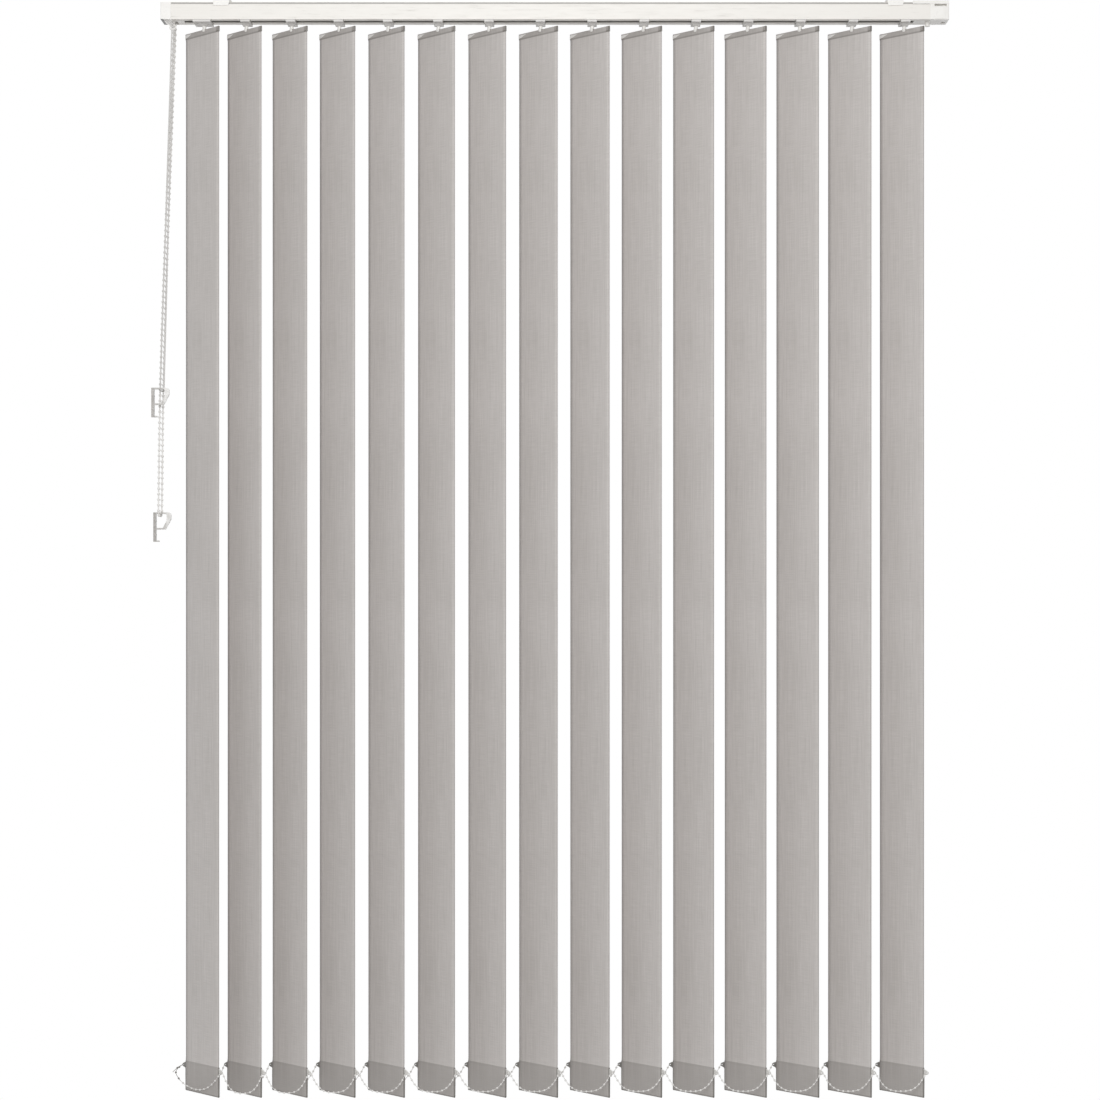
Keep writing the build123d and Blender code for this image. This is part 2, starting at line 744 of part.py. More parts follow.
def main():
    os.makedirs("parts", exist_ok=True)
    places = carrier_places()
    write("headrail", make_headrail())
    write("control_end_cap", make_control_cap())
    write("far_end_cap", make_far_cap())
    write("bracket_left", make_bracket(-bracket_spacing / 2))
    write("bracket_right", make_bracket(bracket_spacing / 2))
    write("tilt_rod", make_tilt_rod())
    write("chain_wheel", make_chain_wheel())
    write("cord_pulley", make_cord_pulley())

    worm = make_worm()
    lead = (make_carrier(lead_left, lead_right, True), worm)
    plain = (make_carrier(carrier_width / 2, carrier_width / 2, False), worm, make_spacer())
    stem = make_stem()
    vane = (make_fabric(), make_card(), make_weight())
    for index, x in enumerate(places):
        number = f"{index + 1:02d}"
        write(f"carrier_{number}", *[Pos(x, 0, 0) * piece for piece in (plain if index else lead)])
        write(f"stem_{number}", place_on_vane(stem, x))
        write(f"vane_{number}", *[place_on_vane(piece, x, vane_shift) for piece in vane])

    write("front_chain", *make_bottom_chain(places, -1))
    write("back_chain", *make_bottom_chain(places, 1))
    write("chain_tail", make_chain_tail(places[0]))

    chain_clip_top = rod_z - chain_clip_drop
    cord_clip_top = rod_z - cord_clip_drop
    chain_middle = (left - chain_lean, clip_line, chain_clip_top - clip_band)
    cord_middle = (left - cord_lean, -clip_line, cord_clip_top - clip_band)
    write("chain_clip", make_wall_clip(clip_line, chain_clip_top))
    write("cord_clip", make_wall_clip(-clip_line, cord_clip_top))
    write("tilt_chain", *make_tilt_chain(chain_middle, chain_loop, chain_loop_turn))
    write("traverse_cord", *make_traverse_cord(cord_middle, cord_loop, cord_loop_turn))


main()
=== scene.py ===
import json
import math

import bmesh
import bpy
from mathutils import Matrix, Vector


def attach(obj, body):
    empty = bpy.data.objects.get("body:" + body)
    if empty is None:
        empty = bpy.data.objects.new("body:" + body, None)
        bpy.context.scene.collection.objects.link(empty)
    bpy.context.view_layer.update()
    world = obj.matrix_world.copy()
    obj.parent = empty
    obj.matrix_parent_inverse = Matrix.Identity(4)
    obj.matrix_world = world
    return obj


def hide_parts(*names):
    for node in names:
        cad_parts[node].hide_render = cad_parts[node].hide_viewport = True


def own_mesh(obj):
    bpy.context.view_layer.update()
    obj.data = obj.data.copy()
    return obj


# Looks of a vertical blind: woven vanes, bead chains, a braided cord and moulded plastic.
# Metres, in the row frame: X along the rail, -Y towards the room, +Z up.

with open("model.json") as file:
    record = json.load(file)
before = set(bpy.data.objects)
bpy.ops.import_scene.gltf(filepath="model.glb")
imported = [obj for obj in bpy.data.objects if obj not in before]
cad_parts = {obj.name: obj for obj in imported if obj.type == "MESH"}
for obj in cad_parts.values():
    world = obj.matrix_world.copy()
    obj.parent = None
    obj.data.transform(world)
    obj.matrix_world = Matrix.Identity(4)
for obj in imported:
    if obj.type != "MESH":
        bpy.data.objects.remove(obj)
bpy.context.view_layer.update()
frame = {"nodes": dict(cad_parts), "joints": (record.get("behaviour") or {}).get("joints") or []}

# Rail, rod and wheels, as in the CAD
LEFT = -0.6055
RIGHT = 0.5945
RAIL_BOTTOM = -0.032
GROOVE_Z = -0.0078
ROD_Y = 0.0076
ROD_Z = -0.0192
WHEEL_RADIUS = 0.00802
PULLEY_X = RIGHT - 0.039
PULLEY_RADIUS = 0.007

# Wall clips, as in the CAD
CLIP_WALL = LEFT - 0.015
BAND_THICKNESS = 0.0024
CHAIN_CLIP_BAND = ROD_Z - 0.7624 - BAND_THICKNESS
CORD_CLIP_BAND = ROD_Z - 0.5729 - BAND_THICKNESS
LOOP_HANG = 0.0032

# Route of the tilt chain, as in the CAD
CHAIN_X = LEFT + 0.0185
CHAIN_LOOP_X = LEFT - 0.0052
CHAIN_LOOP_Y = 0.010
CHAIN_LOOP_RADIUS = 0.0071
CHAIN_LOOP_TURN = 13
CHAIN_BEND_X = LEFT - 0.002
CHAIN_BEND_Y = 0.0092
CHAIN_BEND_Z = ROD_Z - 0.514
CHAIN_BEND_HALF_X = 0.0012
CHAIN_BEND_HALF_Y = 0.0073
CHAIN_NEAR = 0.0142

# Route of the traverse cord, as in the CAD
CORD_Y = -0.0164
UPPER_RUN = ROD_Z + PULLEY_RADIUS
LOWER_RUN = ROD_Z - PULLEY_RADIUS
DOWN_X = LEFT + 0.0055
UP_X = LEFT + 0.0115
CAP_MOUTH = RAIL_BOTTOM - 0.0005
EYE_X = LEFT + 0.0183
EYE_Z = RAIL_BOTTOM - 0.0116 + 0.0055
EYE_HALF_X = 0.0012
CORD_LOOP_X = LEFT + 0.001
CORD_LOOP_Y = -0.010
CORD_LOOP_RADIUS = 0.006
CORD_LOOP_TURN = 20
CORD_NEAR = 0.0110
PULLEY_NEAR = 0.014
UPPER_NEAR = 0.012
LOWER_NEAR = 0.006
CLAMP_HALF = 0.002

# Vanes and their weights, as in the CAD
VANE_COUNT = 15
VANE_TOP = -0.0436
VANE_BOTTOM = -1.6716
VANE_ANGLE = math.radians(48)
VANE_SHIFT = -0.0052
HALF_VANE = 0.0445
SEAM_Z = VANE_TOP - 0.009
HEM_TOP = VANE_BOTTOM + 0.046
HOOK_REACH = 0.0508
HOOK_TIP = HOOK_REACH + 0.0032
HOOK_Z = HEM_TOP - 0.007
CARD_THICKNESS = 0.0009
WEIGHT_THICKNESS = 0.0008

# Cloth, in the vane's own axes
CLOTH = 0.0004
CLOTH_COLUMNS = 12
CLOTH_ROWS = 30
CLOTH_BOW = 0.0007
POCKET_HALF = 0.00092
HEM_HALF = 0.0011
HEM_NECK = 0.0009
FOLD_HALF = 0.0005
FLAP_Y = 0.0006

# Small pieces in the vanes; the edges' ease is a share of the plate's thickness
CORNER_THICKNESS = 0.0003
CORNER_Y = -0.00128
EYE_WIRE_RADIUS = 0.0010
EYE_SIDES = 8
EDGE_EASE = 0.22

# Chains and cord
TILT_LINK = 0.0020
TILT_BEAD = 0.0044
TILT_PITCH = 0.0084
CORD_WIDTH = 0.0018
HEM_LINK = 0.0009
HEM_BEAD = 0.0031
HEM_PITCH = 0.0076
TAIL_PITCH = 0.0106
ARC_LENGTH = 0.104
ARC_GAP = 0.0017
ARC_STEPS = 22
LINK_SIDES = 5
BEAD_SIDES = 12
BEAD_RINGS = 8
BEAD_STRETCH = 1.06

# Camera, floor and world
CAMERA_PLACE = (0.035, -4.2, -0.9126)
CAMERA_LENS = 89.9
CAMERA_SHIFT_X = -0.0285
CAMERA_SHIFT_Y = 0.0436
SENSOR_WIDTH = 36
FLOOR_Z = -2.2
FLOOR_HALF = 2.3
SKY_LOW = -0.35
SKY_HIGH = 0.55
AMBIENT_LOW = 0.24
AMBIENT_HIGH = 0.60

# Colours
WHITE = (0.93, 0.915, 0.885)
WHITE_WORN = (0.84, 0.82, 0.785)
PAINT = (0.90, 0.875, 0.83)
PAINT_SCUFFED = (0.76, 0.735, 0.69)
# Painted shade in the rail's groove
GROOVE_SHADE = (0.42, 0.405, 0.385)
# Painted shade under the control cap's outer end
WELL_SHADE = (0.03, 0.029, 0.027)
# Carriers: white plastic painted darker than the caps and stems, as painted shade under the rail
CARRIER_SHADED_WHITE = (0.72, 0.705, 0.685)
CARRIER_SHADED_WORN = (0.62, 0.605, 0.585)
CARD_WHITE = (0.86, 0.845, 0.825)
CARD_WORN = (0.74, 0.725, 0.705)
CHAIN_WHITE = (0.90, 0.885, 0.86)
CHAIN_WORN = (0.74, 0.725, 0.70)
# Painted shade on the chain's loose end beyond the vane's back edge
TAIL_BACK_SHADE = (0.27, 0.255, 0.24)
HOOK_WHITE = (0.84, 0.83, 0.80)
HOOK_WORN = (0.62, 0.60, 0.57)
# Painted shade on the hooks at the vane's back end
HOOK_BACK_SHADE = (0.26, 0.25, 0.235)
# Wall clips: painted shade on the plate and painted light in the ring
CLIP_PLATE_SHADE = (0.470, 0.450, 0.425)
CLIP_PLATE_SHADE_DARK = (0.350, 0.335, 0.315)
CLIP_BAND = (0.580, 0.565, 0.540)
CLIP_BAND_DARK = (0.460, 0.445, 0.420)
CLIP_RING_LIT = (0.860, 0.850, 0.830)
CLIP_RING_LIT_DARK = (0.740, 0.725, 0.700)
YARN_DARK = (0.580, 0.550, 0.526)
YARN_PALE = (0.715, 0.680, 0.660)
CLOTH_SHADE = (0.190, 0.175, 0.158)
BRAID_PALE = (0.80, 0.785, 0.765)
BRAID_DARK = (0.56, 0.545, 0.53)
METAL_DARK = (0.70, 0.71, 0.72)
METAL_PALE = (0.86, 0.86, 0.87)
FLOOR_DARK = (0.86, 0.86, 0.86)
FLOOR_PALE = (0.88, 0.88, 0.88)


# Materials

# A colour mix node's sockets share their names, so they are taken by number
MIX_FACTOR = 0
MIX_FIRST = 6
MIX_SECOND = 7
MIX_RESULT = 2


class Nodes:
    """Short calls for a material's node tree."""

    def __init__(self, name):
        self.material = bpy.data.materials.new(name)
        self.material.use_nodes = True
        self.tree = self.material.node_tree
        self.shader = self.tree.nodes["Principled BSDF"]
        self.place = self.add("ShaderNodeTexCoord").outputs["Object"]

    def add(self, kind, **settings):
        node = self.tree.nodes.new(kind)
        for key, value in settings.items():
            setattr(node, key, value)
        return node

    def link(self, source, target):
        self.tree.links.new(source, target)

    def axes(self):
        """Object coordinates as the sockets X, Y and Z."""
        node = self.add("ShaderNodeSeparateXYZ")
        self.link(self.place, node.inputs[0])
        return node.outputs

    def stretched(self, scale):
        """Object coordinates times three numbers."""
        mapping = self.add("ShaderNodeMapping")
        mapping.inputs["Scale"].default_value = scale
        self.link(self.place, mapping.inputs["Vector"])
        return mapping.outputs["Vector"]

    def noise(self, scale, detail=3.0, rough=0.55, stretch=(1, 1, 1)):
        node = self.add("ShaderNodeTexNoise")
        node.inputs["Scale"].default_value = scale
        node.inputs["Detail"].default_value = detail
        node.inputs["Roughness"].default_value = rough
        self.link(self.stretched(stretch), node.inputs["Vector"])
        return node.outputs["Fac"]

    def math(self, operation, first, second=None):
        node = self.add("ShaderNodeMath", operation=operation)
        for socket, value in zip(node.inputs, (first, second)):
            if value is None:
                continue
            if isinstance(value, (int, float)):
                socket.default_value = value
            else:
                self.link(value, socket)
        return node.outputs[0]

    def span(self, value, low, high, out_low, out_high):
        """Value from low to high becomes out_low to out_high, and stays inside them."""
        node = self.add("ShaderNodeMapRange", interpolation_type="SMOOTHSTEP")
        node.inputs["From Min"].default_value = low
        node.inputs["From Max"].default_value = high
        node.inputs["To Min"].default_value = out_low
        node.inputs["To Max"].default_value = out_high
        self.link(value, node.inputs["Value"])
        return node.outputs["Result"]

    def near(self, value, centre, full, gone, strength):
        """Strength where value is within full of centre, falling to nothing at gone."""
        away = self.math("ABSOLUTE", self.math("SUBTRACT", value, centre))
        return self.span(away, full, gone, strength, 0.0)

    def mix(self, factor, first, second):
        """First where factor is 0 and second where it is 1; each is a colour or a socket."""
        node = self.add("ShaderNodeMix", data_type="RGBA")
        self.link(factor, node.inputs[MIX_FACTOR])
        for number, value in ((MIX_FIRST, first), (MIX_SECOND, second)):
            if isinstance(value, tuple):
                node.inputs[number].default_value = (*value, 1)
            else:
                self.link(value, node.inputs[number])
        return node.outputs[MIX_RESULT]

    def bump(self, height, strength, distance):
        node = self.add("ShaderNodeBump")
        node.inputs["Strength"].default_value = strength
        node.inputs["Distance"].default_value = distance
        self.link(height, node.inputs["Height"])
        self.link(node.outputs["Normal"], self.shader.inputs["Normal"])

    def set(self, **values):
        """Shader inputs by name: a number is set on the input, and a socket is linked to it."""
        for key, value in values.items():
            socket = self.shader.inputs[key.replace("_", " ")]
            if isinstance(value, (int, float)):
                socket.default_value = value
            else:
                self.link(value, socket)


def plastic(name, pale, worn, rough, zone=None):
    """Moulded plastic: fine grain, uneven gloss, and handling dirt in soft patches."""
    n = Nodes(name)
    patches = n.span(n.noise(38.0, detail=4.0), 0.42, 0.72, 0.0, 0.55)
    colour = n.mix(patches, pale, worn)
    if zone:
        colour = zone(n, colour)
    n.set(Base_Color=colour)
    n.set(Roughness=n.span(n.noise(130.0), 0.3, 0.7, rough - 0.06, rough + 0.10))
    n.set(IOR=1.49)
    n.bump(n.noise(900.0, detail=2.0), strength=0.18, distance=0.00012)
    return n.material


def painted_well_shade(n, colour):
    """Painted shade: the underside at the outer end of the control cap is darkened to near black, for the
    shade in its open well.
    """
    axes = n.axes()
    under = n.near(axes["Z"], RAIL_BOTTOM, full=0.0002, gone=0.0006, strength=1.0)
    outer = n.span(axes["X"], LEFT + 0.0040, LEFT + 0.0050, 1.0, 0.0)
    return n.mix(n.math("MULTIPLY", under, outer), colour, WELL_SHADE)


def painted_back_shade(n, colour):
    """Painted shade: the loose end of the bottom chain is grey beyond the vane's back edge."""
    beyond = n.span(n.axes()["X"], -HALF_VANE - 0.0020, -HALF_VANE, 1.0, 0.0)
    return n.mix(beyond, colour, TAIL_BACK_SHADE)


def rail_paint():
    """Powder coat: orange peel, faint drawing lines along the rail, small scuffs, and painted shade in the
    groove under the top edge.
    """
    n = Nodes("rail_paint")
    lines = n.noise(1.0, detail=2.0, rough=0.5, stretch=(2.0, 900.0, 900.0))
    scuffs = n.noise(1.0, detail=6.0, rough=0.7, stretch=(26.0, 300.0, 300.0))
    shade = n.math("ADD", n.math("MULTIPLY", lines, 0.30), n.span(scuffs, 0.56, 0.72, 0.0, 0.8))
    # Painted shade: the groove under the rail's top edge is darkened.
    groove_shade = n.near(n.axes()["Z"], GROOVE_Z, full=0.0010, gone=0.0014, strength=0.85)
    paint = n.mix(shade, PAINT, PAINT_SCUFFED)
    n.set(Base_Color=n.mix(groove_shade, paint, GROOVE_SHADE))
    n.set(Roughness=n.span(scuffs, 0.4, 0.7, 0.34, 0.52))
    n.set(IOR=1.5)
    peel = n.math("ADD", n.noise(1400.0, detail=2.0), n.math("MULTIPLY", lines, 0.4))
    n.bump(peel, strength=0.22, distance=0.00015)
    return n.material


def woven():
    """Plain weave with uneven yarns; the cut edges are darker, and painted shade darkens the pocket and
    the hem, where the doubled cloth lets less light through.
    """
    n = Nodes("vane_fabric")
    axes = n.axes()
    x = axes["X"]
    z = axes["Z"]
    warp = n.noise(1.0, detail=2.0, rough=0.5, stretch=(1500.0, 40.0, 26.0))
    weft = n.noise(1.0, detail=2.0, rough=0.5, stretch=(34.0, 40.0, 1500.0))
    slub = n.noise(1.0, detail=3.0, rough=0.6, stretch=(420.0, 20.0, 9.0))
    cloud = n.noise(9.0, detail=3.0, rough=0.5)
    threads = n.math("ADD", n.math("MULTIPLY", warp, 0.5), n.math("MULTIPLY", weft, 0.5))
    tone = n.math("ADD", threads, n.math("MULTIPLY", slub, 0.45))
    tone = n.math("ADD", tone, n.math("MULTIPLY", cloud, 0.25))
    yarn = n.mix(n.span(tone, 0.62, 1.08, 0.0, 1.0), YARN_DARK, YARN_PALE)
    # Painted shade: the top pocket is darker, where the doubled cloth lets less light through.
    pocket = n.span(z, SEAM_Z - 0.0006, SEAM_Z + 0.0004, 0.0, 0.32)
    weld = n.near(z, SEAM_Z + 0.001, full=0.0006, gone=0.0016, strength=0.30)
    # Painted shade: the hem is darker, where the doubled cloth and the weight let less light through.
    hem = n.span(z, HEM_TOP - 0.0006, HEM_TOP + 0.0006, 0.36, 0.0)
    hem_line = n.near(z, HEM_TOP - 0.0016, full=0.0008, gone=0.0020, strength=0.05)
    # Painted shade: darker still at the hem's bottom fold.
    hem_fold_shade = n.span(z, VANE_BOTTOM + 0.0012, VANE_BOTTOM + 0.0030, 0.34, 0.0)
    edges = n.span(n.math("ABSOLUTE", x), HALF_VANE - 0.0022, HALF_VANE - 0.0004, 0.0, 0.40)
    # Painted shade at the pocket's near end, above the seam.
    front = n.span(x, HALF_VANE - 0.0080, HALF_VANE - 0.0050, 0.0, 0.40)
    above_seam = n.span(z, SEAM_Z, SEAM_Z + 0.001, 0.0, 1.0)
    pocket_end_shade = n.math("MULTIPLY", front, above_seam)
    shade = pocket
    for zone in (pocket_end_shade, weld, hem, hem_line, hem_fold_shade, edges):
        shade = n.math("ADD", shade, zone)
    shade = n.math("MINIMUM", shade, 1.0)
    n.set(Base_Color=n.mix(shade, yarn, CLOTH_SHADE))
    n.set(Roughness=n.span(threads, 0.3, 0.7, 0.82, 0.94))
    n.set(Sheen_Weight=0.12, Sheen_Roughness=0.5, IOR=1.45)
    relief = n.math("ADD", threads, n.math("MULTIPLY", slub, 0.5))
    n.bump(relief, strength=0.5, distance=0.00025)
    return n.material


def clip_plastic():
    """Glossy plastic of the wall clips with painted light: grey on the plate as painted shade, paler on
    the band, and nearly white in the ring as painted light through the clear plastic.
    """
    n = Nodes("clear_plastic")
    x = n.axes()["X"]
    cloud = n.span(n.noise(260.0, detail=3.0), 0.35, 0.65, 0.0, 1.0)
    plate = n.mix(cloud, CLIP_PLATE_SHADE, CLIP_PLATE_SHADE_DARK)
    band = n.mix(cloud, CLIP_BAND, CLIP_BAND_DARK)
    ring = n.mix(cloud, CLIP_RING_LIT, CLIP_RING_LIT_DARK)
    # Painted light by place along the clip: shade on the plate, light through the ring.
    off_plate = n.span(x, CLIP_WALL + 0.0040, CLIP_WALL + 0.0062, 0.0, 1.0)
    lit_ring = n.span(x, CLIP_WALL + 0.0165, CLIP_WALL + 0.0215, 0.0, 1.0)
    n.set(Base_Color=n.mix(lit_ring, n.mix(off_plate, plate, band), ring))
    n.set(Roughness=n.span(n.noise(190.0), 0.3, 0.7, 0.20, 0.34))
    n.set(IOR=1.49, Coat_Weight=0.3, Coat_Roughness=0.12)
    n.bump(n.noise(1100.0, detail=2.0), strength=0.15, distance=0.0001)
    return n.material


def hook_plastic():
    """Weight and its eyes: pale plastic, painted grey at the back end of the vane as painted shade."""
    n = Nodes("hook_plastic")
    # Painted shade: grey at the back end of the vane.
    back = n.span(n.axes()["X"], -HALF_VANE - 0.0010, -HALF_VANE + 0.0010, 1.0, 0.0)
    worn = n.span(n.noise(420.0, detail=3.0), 0.35, 0.70, 0.0, 0.6)
    pale = n.mix(worn, HOOK_WHITE, HOOK_WORN)
    n.set(Base_Color=n.mix(back, pale, HOOK_BACK_SHADE))
    n.set(Roughness=n.span(n.noise(300.0), 0.3, 0.7, 0.32, 0.46))
    n.bump(n.noise(1200.0, detail=2.0), strength=0.15, distance=0.0001)
    return n.material


def braid(name, pale, dark):
    """Braided cord: two crossing sets of strands as bump and shade."""
    n = Nodes(name)
    axes = n.axes()
    lean = 0.9
    radians_per_metre = 5200.0
    rising = n.math("ADD", axes["Z"], n.math("MULTIPLY", axes["X"], lean))
    falling = n.math("SUBTRACT", axes["Z"], n.math("MULTIPLY", axes["Y"], lean))
    first = n.math("SINE", n.math("MULTIPLY", rising, radians_per_metre))
    second = n.math("SINE", n.math("MULTIPLY", falling, radians_per_metre))
    strands = n.math("MAXIMUM", first, second)
    n.set(Base_Color=n.mix(n.span(strands, -0.5, 1.0, 0.0, 1.0), dark, pale))
    n.set(Roughness=n.span(n.noise(300.0), 0.3, 0.7, 0.62, 0.78), Sheen_Weight=0.1)
    n.bump(strands, strength=0.5, distance=0.0002)
    return n.material


def drawn_metal():
    """Mill-finish aluminium with long drawing lines."""
    n = Nodes("rod_metal")
    lines = n.noise(1.0, detail=4.0, rough=0.6, stretch=(4.0, 2600.0, 2600.0))
    n.set(Base_Color=n.mix(lines, METAL_DARK, METAL_PALE))
    n.set(Roughness=n.span(lines, 0.3, 0.7, 0.26, 0.42), Metallic=1.0)
    n.bump(lines, strength=0.15, distance=0.0001)
    return n.material


RAIL = rail_paint()
CAP = plastic("cap_plastic", WHITE, WHITE_WORN, rough=0.30)
# The control cap carries painted shade under its outer end
CONTROL_CAP = plastic("control_cap_plastic", WHITE, WHITE_WORN, rough=0.30, zone=painted_well_shade)
# Carriers are painted darker than the caps, as painted shade under the rail
CARRIER = plastic("carrier_plastic", CARRIER_SHADED_WHITE, CARRIER_SHADED_WORN, rough=0.42)
CLIP = clip_plastic()
BEAD = plastic("chain_plastic", CHAIN_WHITE, CHAIN_WORN, rough=0.26)
# The chain's loose end carries painted shade beyond the vane's back edge
TAIL = plastic("tail_plastic", CHAIN_WHITE, CHAIN_WORN, rough=0.26, zone=painted_back_shade)
HOOK = hook_plastic()
FABRIC = woven()
BRAID = braid("cord_braid", BRAID_PALE, BRAID_DARK)
METAL = drawn_metal()
CORNER = plastic("card_plastic", CARD_WHITE, CARD_WORN, rough=0.5)


# Pieces and meshes


def placed(name, data, body, matrix=None):
    """Object of a mesh or curve, with its body."""
    obj = bpy.data.objects.new(name, data)
    bpy.context.scene.collection.objects.link(obj)
    if matrix is not None:
        obj.matrix_world = matrix
    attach(obj, body)
    return obj


def mesh_from(name, bm, material):
    """Mesh of a bmesh, which is used up, with one material."""
    mesh = bpy.data.meshes.new(name)
    bm.to_mesh(mesh)
    bm.free()
    mesh.materials.append(material)
    return mesh


def shade_smooth(mesh):
    for polygon in mesh.polygons:
        polygon.use_smooth = True


def smooth_piece(name, bm, material, body, matrix=None):
    """Smooth-shaded object from a bmesh, with its material, its body and its material slot."""
    bmesh.ops.recalc_face_normals(bm, faces=bm.faces)
    mesh = mesh_from(name, bm, material)
    shade_smooth(mesh)
    return placed(name, mesh, body, matrix)


def add_plate(bm, corners, thickness):
    """Flat plate from (x, z) corners, with its middle at y 0."""
    face = bm.faces.new([bm.verts.new((x, -thickness / 2, z)) for x, z in corners])
    made = bmesh.ops.extrude_face_region(bm, geom=[face])
    new = [item for item in made["geom"] if isinstance(item, bmesh.types.BMVert)]
    bmesh.ops.translate(bm, verts=new, vec=(0, thickness, 0))


def add_tube(bm, points, radius, sides):
    """Round closed tube along a line of points."""
    rings = []
    for index, point in enumerate(points):
        before = points[max(index - 1, 0)]
        after = points[min(index + 1, len(points) - 1)]
        turn = (after - before).normalized().to_track_quat("Z", "Y").to_matrix()
        ring = []
        for side in range(sides):
            angle = 2 * math.pi * side / sides
            offset = turn @ Vector((math.cos(angle), math.sin(angle), 0))
            ring.append(bm.verts.new(point + radius * offset))
        rings.append(ring)
    for first, second in zip(rings, rings[1:]):
        for side in range(sides):
            after = (side + 1) % sides
            bm.faces.new((first[side], first[after], second[after], second[side]))
    bm.faces.new(rings[0])
    bm.faces.new(list(reversed(rings[-1])))


def add_bead(bm, place, direction, diameter):
    """Moulded bead: a ball drawn out a little along the chain."""
    turn = direction.to_track_quat("Z", "Y").to_matrix().to_4x4()
    matrix = Matrix.Translation(place) @ turn @ Matrix.Diagonal((1, 1, BEAD_STRETCH, 1))
    bmesh.ops.create_uvsphere(
        bm, u_segments=BEAD_SIDES, v_segments=BEAD_RINGS, radius=diameter / 2, matrix=matrix
    )


# Cords and lines


def nurbs(name, points, diameter, material):
    """Smooth open cord that follows the route's control points."""
    curve = bpy.data.curves.new(name, "CURVE")
    curve.dimensions = "3D"
    curve.bevel_depth = diameter / 2
    curve.bevel_resolution = 3
    curve.resolution_u = 10
    curve.use_fill_caps = True
    spline = curve.splines.new("NURBS")
    spline.points.add(len(points) - 1)
    for point, place in zip(spline.points, points):
        point.co = (*place, 1)
    spline.order_u = 3
    spline.use_endpoint_u = True
    curve.materials.append(material)
    return curve


def line_of(curve):
    """Points along a curve's own line, with its tube left off."""
    bare = curve.copy()
    bare.bevel_depth = 0
    helper = bpy.data.objects.new("helper", bare)
    mesh = bpy.data.meshes.new_from_object(helper)
    points = [vertex.co.copy() for vertex in mesh.vertices]
    bpy.data.objects.remove(helper)
    bpy.data.meshes.remove(mesh)
    bpy.data.curves.remove(bare)
    return points


def length_of(points):
    return sum((b - a).length for a, b in zip(points, points[1:]))


def along(points, pitch, start):
    """Places every pitch along a line of points, with the direction there."""
    places = []
    wanted = start
    passed = 0.0
    for a, b in zip(points, points[1:]):
        run = (b - a).length
        while run > 0 and wanted <= passed + run:
            places.append((a.lerp(b, (wanted - passed) / run), (b - a).normalized()))
            wanted += pitch
        passed += run
    return places


def add_small_chain(bm, points, pitch):
    """Bottom chain along a line: a thin link with a bead every pitch, centred on the run."""
    add_tube(bm, points, HEM_LINK / 2, LINK_SIDES)
    length = length_of(points)
    count = int(length / pitch)
    start = (length - (count - 1) * pitch) / 2
    for place, direction in along(points, pitch, start):
        add_bead(bm, place, direction, HEM_BEAD)


# Camera

camera_data = bpy.data.cameras.new("camera")
camera = bpy.data.objects.new("camera", camera_data)
bpy.context.scene.collection.objects.link(camera)
camera_data.lens = CAMERA_LENS
camera_data.sensor_width = SENSOR_WIDTH
camera_data.shift_x = CAMERA_SHIFT_X
camera_data.shift_y = CAMERA_SHIFT_Y
camera.location = CAMERA_PLACE
camera.rotation_euler = (math.pi / 2, 0, 0)
bpy.context.scene.camera = camera


# Tilt chain and traverse cord


def loop_corners(middle_x, y, band, radius, turn):
    """The front and back corner of a loop that hangs round a clip's band, turned by turn degrees."""
    across_x = radius * math.sin(math.radians(turn))
    across_y = radius * math.cos(math.radians(turn))
    low = band - LOOP_HANG
    front = Vector((middle_x - across_x, y - across_y, low))
    back = Vector((middle_x + across_x, y + across_y, low))
    return front, back


def beside(corner, other, distance):
    """Point on the run from corner towards other."""
    return corner + (other - corner).normalized() * distance


def make_tilt_chain():
    """Bead loop: front strand down from the wheel, round the clip's band and up at the back."""
    front_top = Vector((CHAIN_X, ROD_Y - WHEEL_RADIUS, ROD_Z))
    back_top = Vector((CHAIN_X, ROD_Y + WHEEL_RADIUS, ROD_Z))
    front_bend = Vector((CHAIN_BEND_X - CHAIN_BEND_HALF_X, CHAIN_BEND_Y - CHAIN_BEND_HALF_Y, CHAIN_BEND_Z))
    back_bend = Vector((CHAIN_BEND_X + CHAIN_BEND_HALF_X, CHAIN_BEND_Y + CHAIN_BEND_HALF_Y, CHAIN_BEND_Z))
    front, back = loop_corners(
        CHAIN_LOOP_X, CHAIN_LOOP_Y, CHAIN_CLIP_BAND, CHAIN_LOOP_RADIUS, CHAIN_LOOP_TURN
    )
    route = [
        front_top,
        beside(front_top, front_bend, CHAIN_NEAR),
        front_bend,
        beside(front, front_bend, CHAIN_NEAR),
        front,
        back,
        beside(back, back_bend, CHAIN_NEAR),
        back_bend,
        beside(back_top, back_bend, CHAIN_NEAR),
        back_top,
    ]
    curve = nurbs("tilt_chain_link", route, TILT_LINK, BEAD)
    chain = placed("tilt_chain_link", curve, "headrail")
    line = line_of(curve)
    bm = bmesh.new()
    for place, direction in along(line, TILT_PITCH, TILT_PITCH / 2):
        add_bead(bm, place, direction, TILT_BEAD)
    beads = smooth_piece("tilt_chain_beads", bm, BEAD, "headrail")
    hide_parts("tilt_chain")


